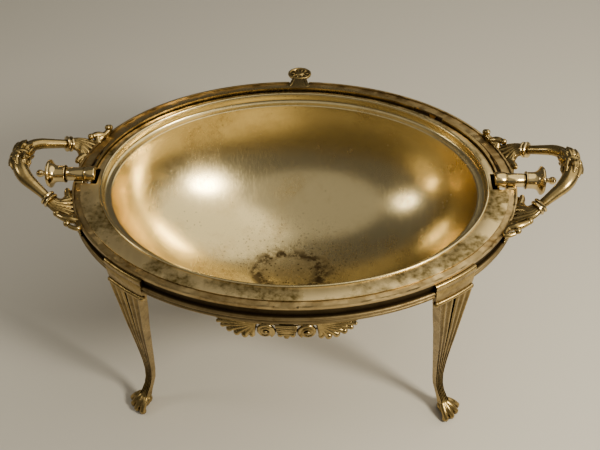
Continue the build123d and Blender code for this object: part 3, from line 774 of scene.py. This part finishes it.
collarProfile = [
    (4.4, -5.0), (5.7, -4.9), (6.2, -4.4), (6.2, -3.6), (5.8, -3.1), (4.9, -2.9), (4.8, -2.1),
    (5.8, -1.9), (6.2, -1.4), (6.2, -0.6), (5.7, -0.1), (4.4, 0.1),
]
collars = []
for side in (-1, 1):
    collar = ringStack("collar", [(r, r, z) for r, z in collarProfile], 56, "capped")
    smooth(collar, 40)
    collars.append(alongArm(collar, side))
collarPiece = join("collars", collars)
bothEnds(collarPiece, "handleCollars", turnedSilver, "handle_collars")
print("handles made")

# handle mounts: fluted sockets, leafed plates and curled stems along the frame's edge
def edgeSpot(across, out, height):
    # a place beside the frame's edge at that distance along Y from the middle, on the right
    along = frameX * sqrt(max(0, 1 - (across / frameY) ** 2))
    normal = Vector((along / frameX ** 2, across / frameY ** 2, 0)).normalized()
    return (along + out * normal.x, middleY + across + out * normal.y, height)


def socketSpot(along, across, rise, side):
    # a place by the arm's line continued back: along is measured back from the collar
    slant, tilt = radians(handle["slant"]), radians(handle["tilt"])
    reach = -(5 + along) * cos(slant) - side * across * sin(slant) * side
    sideways = side * (handle["rootY"] + (5 + along) * sin(slant)) - side * across * cos(slant)
    return inHandle(reach, sideways, rise)


# the curls' places: across, out from the edge, height; the last is the ball's
curls = {
    "front": [
        [(49, 0.0, 189.6), (47.5, 3.5, 191.0), (44.8, 7.2, 191.6), (42.0, 10.2, 191.8),
         (40.0, 11.8, 192.2), (39.2, 12.3, 192.6)],
        [(44, 1.0, 188.5), (50, 0.8, 189.6), (54.5, 0.8, 190.8), (56.8, 2.4, 191.6),
         (55.4, 5.2, 192.0), (52.4, 7.3, 192.4), (50.0, 8.1, 192.6)],
    ],
    "back": [
        [(48, 0.0, 189.4), (46.0, 1.8, 190.8), (44.0, 3.4, 191.8), (42.0, 4.6, 192.4),
         (40.4, 5.2, 192.9), (39.7, 5.2, 193.2)],
        [(44, 0.8, 188.5), (48, 0.4, 189.6), (52, 0.0, 190.6), (55, 0.0, 191.6),
         (55.4, 0.8, 192.6), (54.2, 1.0, 193.0), (52.8, 0.6, 193.4)],
    ],
}
mounts = {}
for word, side in (("front", -1), ("back", 1)):
    parts = []
    # a fan of ribs that spreads from the collar to the frame's edge, over a fanned plate
    for rib in range(7):
        share = rib / 6
        spread = 2 * share - 1
        root = Vector(edgeSpot(side * (15 + 27 * share), 0.4, 187.6 - 1.5 * spread * spread))
        for rise, drop in ((2.2, 0.0), (-2.2, 5.0)):
            start = Vector(socketSpot(-0.5, -spread * 4.2, rise * (1 - 0.6 * spread * spread), side))
            bend = Vector(socketSpot(4.5, -spread * 5.4, 0.9 * rise * (1 - 0.6 * spread * spread), side))
            end = root - Vector((0, 0, drop))
            points = [start, bend, bend.lerp(end, 0.45) + Vector((0, 0, 0.6)), end.lerp(bend, 0.12), end]
            parts.append(bentRod("rib", points, [0.8, 0.95, 1.4, 1.9, 2.0], 3))
    parts.append(pebble("core", socketSpot(1.5, 0, 0, side), (3.0, 3.0, 3.0), None, 20))
    for share in (0.25, 0.5, 0.75):
        middleRoot = Vector(edgeSpot(side * (15 + 27 * share), 1.0, 184.6))
        inner = Vector(socketSpot(3, 0, -0.5, side))
        parts.append(bentRod("core", [inner, inner.lerp(middleRoot, 0.5), middleRoot], [2.0, 1.8, 2.0], 4))
    # leaf tip beside the pivot, curling up
    leaf = [edgeSpot(side * across, out, height) for across, out, height in (
        (25, 2.0, 187.6), (20.0, 3.2, 188.8), (16.6, 3.6, 189.0), (14.6, 3.0, 189.8))]
    parts.append(bentRod("leaf", leaf, [2.6, 2.6, 2.2, 1.5], 4))
    # a rolled fold across the fan's far edge, and a stem along the frame that hooks out; each ends in a ball
    for curl, radii in zip(curls[word], ((2.2, 2.8, 2.9, 2.4, 2.0), (2.4, 2.3, 2.1, 1.8, 1.7, 1.7))):
        spots = [edgeSpot(side * across, out, height) for across, out, height in curl]
        parts.append(bentRod("curl", spots[:-1], radii, 4))
        parts.append(pebble("ball", spots[-1], (2.5, 2.5, 2.5)))
        # web that ties the curl to the plate
        foot, tip = Vector(edgeSpot(side * curl[2][0] * 0.94, 0.8, 186.6)), Vector(spots[2])
        parts.append(bentRod("web", [foot, foot.lerp(tip, 0.5), tip], [3.4, 2.9, 2.2], 4))
    # plate against the frame's edge
    widths = [0.9 + 1.3 * sin(pi * (step + 0.5) / 12) for step in range(12)]
    for height in (185.5, 182.5, 179.5):
        plate = [edgeSpot(side * (13 + 40 * step / 11), 1.0, height) for step in range(12)]
        parts.append(bentRod("plate", plate, widths, 4))
    whole = fuse(join("mount_" + word, parts), 0.36, 1)
    mounts[word] = whole
for word, whole in mounts.items():
    bothEnds(whole, "handleMount" + word.title(), castSilver, "handle_mount_" + word)
print("handle mounts made")

# legs: cap over the wall and moulding, fluted shaft, bent ankle and clawed paw
leg = {
    "turn": 46.7, "flutes": 5, "fluteDeep": 0.6, "ridge": 0.3, "edge": 0.07, "sides": 200,
    "pawTurn": -38.0, "toes": (-34.0, -11.0, 12.0, 35.0),
    "capLeft": 16.8, "capRight": 15.0, "capLean": 0.08, "barZ": 166.2, "barLeft": -16.4, "barRight": 14.6,
    "barOut": 2.0, "curve": 150,
}
# height, shift along X and Y from the frame's edge, half width, half depth
legLevels = [
    (169.0, -0.4, -0.9, 14.2, 2.2), (166.0, -0.4, -1.2, 14.2, 3.0), (163.6, -0.4, -1.5, 14.3, 4.2),
    (158.0, -0.2, -2.0, 13.8, 4.2), (140.0, 0.2, -3.4, 11.9, 4.0), (120.0, 1.0, -5.0, 9.8, 3.6),
    (100.0, 1.6, -7.2, 8.0, 3.3), (85.0, 2.1, -9.0, 6.7, 3.0), (70.0, 2.6, -10.6, 5.5, 2.7),
    (55.0, 3.2, -12.0, 4.4, 2.5), (43.0, 3.8, -12.5, 3.8, 2.4), (32.0, 5.0, -12.2, 3.5, 2.4),
    (24.0, 7.0, -11.0, 3.3, 2.5), (17.0, 9.6, -8.6, 3.5, 3.0), (11.0, 11.8, -6.4, 4.2, 3.6),
]
legAngle = radians(leg["turn"])
legEdge = Vector((frameX * cos(legAngle), -frameY * sin(legAngle), 0))
legNormal = Vector((cos(legAngle) / frameX, -sin(legAngle) / frameY, 0)).normalized()
legSpin = degrees(atan2(legNormal.y, legNormal.x)) + 90       # local -Y points outwards
clearAll()
bpy.ops.mesh.primitive_circle_add(vertices=leg["sides"], radius=mm)
shaft = bpy.context.object
shaft.name = "shaft"
startEdit(shaft)
outline = bmesh.from_edit_mesh(shaft.data)
for vertex in outline.verts:
    # a flat bar's section with hollow flutes between sharp ridges on its outer face
    across, outward = vertex.co.x / mm, -vertex.co.y / mm
    share = degrees(atan2(abs(outward), across)) / 180
    wide = max(-1, min(1, (1 - 2 * share) / (1 - 2 * leg["edge"])))
    deep = min(1, share / leg["edge"], (1 - share) / leg["edge"]) * (1 if outward > 0 else -1)
    if outward > 0 and abs(wide) < 1:
        hollow = abs(sin(pi * leg["flutes"] * (wide + 1) / 2))
        deep -= leg["fluteDeep"] * max(0, hollow - leg["ridge"])
    vertex.co.x, vertex.co.y = wide * mm, -deep * mm
bmesh.update_edit_mesh(shaft.data)
bpy.ops.mesh.select_all(action="SELECT")
last = None
for height, outX, outY, halfWide, halfDeep in legLevels:
    local = spinZ(-legSpin) @ Vector((outX, -outY, 0))
    spot = Vector((local.x, local.y, height)) * mm
    if last is None:
        bpy.ops.transform.resize(value=(halfWide, halfDeep, 1), center_override=(0, 0, 0))
        bpy.ops.transform.translate(value=spot)
        bpy.ops.mesh.edge_face_add()
        bpy.ops.mesh.poke()
        pick(lambda v: (v.co - spot).length > 2 * mm)
    else:
        bpy.ops.mesh.extrude_edges_move(TRANSFORM_OT_translate={"value": spot - last[0]})
        bpy.ops.transform.resize(
            value=(halfWide / last[1], halfDeep / last[2], 1), center_override=spot)
    last = (spot, halfWide, halfDeep)
bpy.ops.mesh.edge_face_add()
bpy.ops.mesh.poke()
endEdit()
fixNormals(shaft)
settle(shaft, legEdge, spinZ(legSpin))
smooth(shaft, 50)
legParts = [shaft]
# cap: a strip of the frame's own section, standing out from it, cut to the leg's width
cap = ringLoop("cap", ovalRings(frameX, frameY, [
    (-1.5, 164.6), (1.4, 164.6), (2.2, 165.2), (2.4, 170.0), (2.5, 174.0), (2.4, 178.6), (1.9, 179.6),
    (1.9, 180.4), (2.4, 181.2), (2.4, 184.4), (2.0, 185.4), (1.2, 186.0), (-1.5, 186.0)]), 320)
legTangent = Vector((-legNormal.y, legNormal.x, 0))
for side in (-1, 1):
    startEdit(cap, True)
    tangent = legTangent * side
    half = leg["capLeft"] if side < 0 else leg["capRight"]
    bpy.ops.mesh.bisect(
        plane_co=legEdge * mm + tangent * half * mm + Vector((0, 0, 164 * mm)),
        plane_no=tangent - Vector((0, 0, leg["capLean"])), clear_outer=True, use_fill=True)
    endEdit()
startEdit(cap)
pick(lambda v: v.co.x < 0)
bpy.ops.mesh.delete(type="VERT")
endEdit()
smooth(cap, 40)
legParts.append(cap)


def besideLeg(across, out, height):
    # a place round the frame's curve, from the leg's middle
    bend = 0.5 * across * across / leg["curve"]
    spot = legEdge + legTangent * across + legNormal * (out - bend)
    return (spot.x, spot.y, height)


# bar lip under the cap, with a ball end and a rounded end
barAcross = (leg["barLeft"], -11, -5.5, 0, 5.5, 11, leg["barRight"])
barPoints = [besideLeg(across, leg["barOut"], leg["barZ"]) for across in barAcross]
bar = bentRod("bar", barPoints, [2.2, 2.0, 2.0, 2.0, 2.0, 2.0, 2.1], 6)
legParts.append(bar)
legParts.append(pebble("barBall", barPoints[0], (2.5, 2.5, 2.5)))
legParts.append(pebble("barEnd", barPoints[-1], (2.2, 2.2, 2.2)))
# paw
heel = legEdge + Vector((8.6, 9.4, 0))
ahead = Vector((cos(radians(leg["pawTurn"])), sin(radians(leg["pawTurn"])), 0))
wrist = legEdge + Vector((9.6, 8.6, 0))
pawParts = [
    pebble("pad", (heel + ahead * 3.4 + Vector((0, 0, 4.4)))[:], (4.6, 4.6, 4.4), None, 20),
    pebble("pad", (heel + ahead * 6.8 + Vector((0, 0, 3.4)))[:], (5.8, 5.8, 3.4), None, 20),
]
for fan in leg["toes"]:
    turn = radians(leg["pawTurn"] + fan)
    toward = Vector((cos(turn), sin(turn), 0))
    toePoints = [wrist + toward * 0.6 + Vector((0, 0, 17.0)), heel + toward * 4.2 + Vector((0, 0, 12.6)),
                 heel + toward * 9.0 + Vector((0, 0, 9.8)), heel + toward * 13.2 + Vector((0, 0, 6.6)),
                 heel + toward * 16.0 + Vector((0, 0, 3.4))]
    pawParts.append(bentRod("toe", toePoints, [1.7, 2.2, 2.7, 2.6, 2.3], 4))
    tip = heel + toward * 14.6
    pawParts.append(pebble("toeTip", (tip.x, tip.y, 3.2), (3.0, 3.0, 3.1)))
    knuckle = heel + toward * 8.8
    pawParts.append(pebble("knuckle", (knuckle.x, knuckle.y, 8.9), (2.5, 2.5, 2.5)))
paw = fuse(join("paw", pawParts), 0.4, 1)
startEdit(paw)
pick(lambda v: v.co.z < 0)
bpy.ops.transform.resize(value=(1, 1, 0), center_override=(0, 0, 0))
endEdit()
legParts.append(paw)
legPiece = join("leg", legParts)
settle(legPiece, middle)
legNames = {"FrontRight": (1, 1), "FrontLeft": (-1, 1), "BackRight": (1, -1), "BackLeft": (-1, -1)}
for word, (sideX, sideY) in legNames.items():
    if word == "FrontRight":
        continue
    twin = copyOf(legPiece, "leg" + word, (sideX, sideY, 1))
    settle(twin, (0, (1 - sideY) * middleY, 0))
    node = "leg_" + ("front" if sideY > 0 else "back") + ("_right" if sideX > 0 else "_left")
    finish(twin, legSilver, "frame", [node])
legPiece.name = "legFrontRight"
finish(legPiece, legSilver, "frame", ["leg_front_right"])
for group in ("leg_screws", "handle_screws"):
    paint(frame["nodes"][group], bareBrass)
print("legs made")

# ornaments: volutes, a banded cartouche and gadroon lobes under the moulding
spray = {
    "voluteAt": 14.4, "voluteWide": 7.2, "voluteZ": 164.6, "turns": 2.1, "steps": 40,
    "rootX": 21.0, "rootZ": 170.6, "trim": 1.7,
    "gadroons": ((23.6, 159.6, 1.9), (28.6, 158.8, 2.3), (34.0, 160.2, 2.3), (39.2, 162.8, 2.1),
                 (43.6, 166.0, 1.7), (46.8, 169.4, 1.2)),
}


def wallAt(across, inset=wallInset):
    # how far in front of the middle the wall is there
    return (frameY - inset) * sqrt(1 - (across / (frameX - inset)) ** 2)


def onFront(across, out, height):
    # a place in front of the wall, round the frame's curve
    return (across, -(wallAt(across) + out), height)


sprayParts = [
    pebble("cartouche", onFront(0, 1.4, 165.2), (7.4, 2.6, 7.4), None, 24),
]
bands = ((171.2, 7.6, 1.3), (168.4, 7.2, 0.75), (166.4, 7.0, 0.75), (164.4, 6.6, 0.75), (162.2, 5.8, 0.9))
for height, half, thick in bands:
    points = [onFront(half * (step - 3) / 3, 3.6 - 0.12 * abs(step - 3), height) for step in range(7)]
    sprayParts.append(bentRod("band", points, [thick] * 7, 3))
for across in (-4.2, 0, 4.2):
    sprayParts.append(pebble("drop", onFront(across, 2.6, 159.4 + 0.1 * across * across), (2.2, 2.0, 2.3)))
for side in (-1, 1):
    points, radii = [], []
    for step in range(spray["steps"]):
        share = step / (spray["steps"] - 1)
        angle = radians(-50) + 2 * pi * spray["turns"] * share
        reach = spray["voluteWide"] * (1 - 0.76 * share)
        across = side * (spray["voluteAt"] - 0.86 * reach * cos(angle))
        points.append(onFront(across, 2.5 + 1.0 * share, spray["voluteZ"] + reach * sin(angle)))
        radii.append(1.35 - 0.5 * share)
    sprayParts.append(bentRod("volute", points, radii, 3))
    eye, eyeZ = side * spray["voluteAt"], spray["voluteZ"]
    sprayParts.append(pebble("voluteBack", onFront(eye, 1.4, eyeZ), (6.0, 1.5, 7.0), None, 20))
    sprayParts.append(pebble("voluteBoss", onFront(eye, 3.8, eyeZ), (1.7, 1.6, 1.7)))
    rootX, rootZ = spray["rootX"], spray["rootZ"]
    for tipX, tipZ, wide in spray["gadroons"]:
        points, radii = [], []
        for share in (0.0, 0.3, 0.6, 0.85, 1.0):
            across, height = rootX + (tipX - rootX) * share, rootZ + (tipZ - rootZ) * share
            points.append(onFront(side * across, 1.4 + 1.5 * share, height))
            radii.append(wide * (0.35 + 0.65 * share))
        sprayParts.append(bentRod("gadroon", points, radii, 4))
        sprayParts.append(pebble("bulb", points[-1], (1.15 * wide, 1.1 * wide, 1.2 * wide)))
        # the plate behind, so that the fan is closed
        behind = [onFront(side * (rootX + (tipX - rootX) * share), 0.8, rootZ + (tipZ - rootZ) * share)
                  for share in (0.0, 0.5, 0.85)]
        sprayParts.append(bentRod("behind", behind, [1.2, 1.9, 1.9], 3))
    points = [onFront(side * across, 1.5, 171.6) for across in (8, 16, 24, 32, 40, 48.0)]
    sprayParts.append(bentRod("sprayTop", points, [1.1, 1.1, 1.0, 0.95, 0.9, 0.8], 3))
sprayPiece = fuse(join("spray", sprayParts), 0.35, 1)
startEdit(sprayPiece)
pick(lambda v: v.co.y > -wallAt(v.co.x / mm, spray["trim"]) * mm)
bpy.ops.mesh.delete(type="VERT")
endEdit()
settle(sprayPiece, middle)
backSpray = copyOf(sprayPiece, "backOrnament", (1, -1, 1))
settle(backSpray, (0, 2 * middleY, 0))
sprayPiece.name = "frontOrnament"
finish(sprayPiece, castSilver, "frame", ["front_ornament"])
finish(backSpray, castSilver, "frame", ["back_ornament"])
print("ornaments made")

# the lid's handle: a flat tab with a petalled disc
tab = {
    "halfBase": 10.0, "halfNeck": 6.0, "neckFrom": 111.4, "neckTo": 126.5, "discY": 132.8, "petals": 10,
    "petal": (2.0, 0.95, 0.6), "petalX": 5.9, "petalY": 4.7, "thick": 1.8, "softened": 0.5,
    "skirt": (19.6, 1.3, 8.4), "skirtAt": (0, 113.2, 187.2),
}
discRings = [
    (8.8, 7.1, -1.2), (9.9, 8.2, -1.0), (10.2, 8.5, -0.2), (10.1, 8.4, 0.5), (9.6, 7.9, 1.0),
    (8.8, 7.1, 1.1), (8.1, 6.5, 0.7), (7.7, 6.1, 0.1), (5.4, 4.2, 0.0), (3.9, 3.1, 0.3), (3.4, 2.7, 0.9),
    (2.6, 2.0, 1.15), (1.2, 0.9, 1.2),
]
disc = ringStack("disc", discRings, 64, "capped")
smooth(disc, 40)
settle(disc, (0, tab["discY"], axisZ))
tabParts = [disc]
for petal in range(tab["petals"]):
    turn = 360 * petal / tab["petals"]
    acrossX, acrossY = tab["petalX"] * cos(radians(turn)), tab["petalY"] * sin(radians(turn))
    spot = (acrossX, tab["discY"] + acrossY, axisZ + 0.25)
    tabParts.append(pebble("petal", spot, tab["petal"], spinZ(turn), 12))
neck = block("neck", (0, (tab["neckFrom"] + tab["neckTo"]) / 2, axisZ - 0.2),
             (2 * tab["halfNeck"], tab["neckTo"] - tab["neckFrom"], tab["thick"]))
startEdit(neck)
pick(lambda v: v.co.y < 115 * mm)
bpy.ops.transform.resize(value=(tab["halfBase"] / tab["halfNeck"], 1, 1), center_override=(0, 0, axisZ * mm))
endEdit()
addModifier(neck, "BEVEL", width=tab["softened"] * mm, segments=2)
smooth(neck, 40)
tabParts.append(neck)
for side in (-1, 1):
    ridge = [(side * across, along, axisZ + lift) for across, along, lift in (
        (7.8, 113.4, 0.5), (6.0, 117.0, 0.6), (5.0, 121.4, 0.6), (4.0, 125.0, 0.5))]
    tabParts.append(bentRod("tabRidge", ridge, [0.7, 0.6, 0.55, 0.5], 3))
skirt = block("skirt", tab["skirtAt"], tab["skirt"])
addModifier(skirt, "BEVEL", width=tab["softened"] * mm, segments=2)
smooth(skirt, 40)
tabParts.append(skirt)
tabPiece = join("lidHandle", tabParts)
settle(tabPiece, middle)
finish(tabPiece, castSilver, "lid", ["lid_handle"])
paint(frame["nodes"]["lid_handle_rivets"], bareBrass)
for node in ("lid_rim_long", "lid_rim_short"):
    paint(frame["nodes"][node], lidSilver)
print("lid handle made")

# floor, light and camera
stage = {"floor": "cfcbc2", "floorRough": 0.6, "key": 10.0, "fill": 1.0, "side": 8.0, "soft": 3.6,
         "world": 0.12, "warm": (1, 0.91, 0.72), "pale": (1, 0.92, 0.76), "centre": (0, 0, 0.15)}
clearAll()
bpy.ops.mesh.primitive_plane_add(size=1)
floor = bpy.context.object
floor.name = "floor"
settle(floor, (0, 0, 0), None, (6, 6, 1))
floorMatt = bpy.data.materials.new("paleMattFloor")
floorMatt.use_nodes = True
floorShader = floorMatt.node_tree.nodes["Principled BSDF"]
floorShader.inputs["Base Color"].default_value = hexColour(stage["floor"])
floorShader.inputs["Roughness"].default_value = stage["floorRough"]
paint(floor, floorMatt)


def softLight(name, place, size, power, colour):
    light = bpy.data.lights.new(name, "AREA")
    light.shape = "DISK"
    light.size = size
    light.energy = power
    light.color = colour
    lamp = bpy.data.objects.new(name, light)
    bpy.context.scene.collection.objects.link(lamp)
    aim = Vector(stage["centre"]) - Vector(place)
    lamp.matrix_world = Matrix.Translation(Vector(place)) @ aim.to_track_quat("-Z", "Y").to_matrix().to_4x4()


softLight("keyLight", (0.66, -0.46, 0.70), 0.22, stage["key"], stage["warm"])
softLight("fillLight", (-0.75, -0.10, 0.64), 0.2, stage["fill"], stage["warm"])
softLight("sideLight", (0.66, 0.20, 0.95), 1.6, stage["side"], stage["warm"])
softLight("softLight", (-0.2, -0.6, 1.6), 2.2, stage["soft"], stage["pale"])
world = bpy.data.worlds.new("studio")
bpy.context.scene.world = world
world.use_nodes = True
world.node_tree.nodes["Background"].inputs["Color"].default_value = (0.92, 0.88, 0.8, 1)
world.node_tree.nodes["Background"].inputs["Strength"].default_value = stage["world"]

view = {"lens": 47.52, "elevation": 46.39, "azimuth": 2.89, "roll": -1.16, "distance": 625.5,
        "aim": (4.9, -11.4, 150.0)}
cameraData = bpy.data.cameras.new("camera")
cameraData.lens = view["lens"]
cameraData.sensor_width = 36
cameraData.clip_start = 0.01
cameraData.dof.use_dof = False
camera = bpy.data.objects.new("camera", cameraData)
bpy.context.scene.collection.objects.link(camera)
high, turned = radians(view["elevation"]), radians(view["azimuth"])
forward = Vector((-sin(turned) * cos(high), cos(turned) * cos(high), -sin(high)))
aim = Vector(view["aim"]) + Vector(middle)
spot = (aim - forward * view["distance"]) * mm
camera.matrix_world = (
    Matrix.Translation(spot) @ Matrix.Rotation(turned, 4, "Z")
    @ Matrix.Rotation(pi / 2 - high, 4, "X") @ Matrix.Rotation(radians(view["roll"]), 4, "Z"))
bpy.context.scene.camera = camera
print("stage ready")
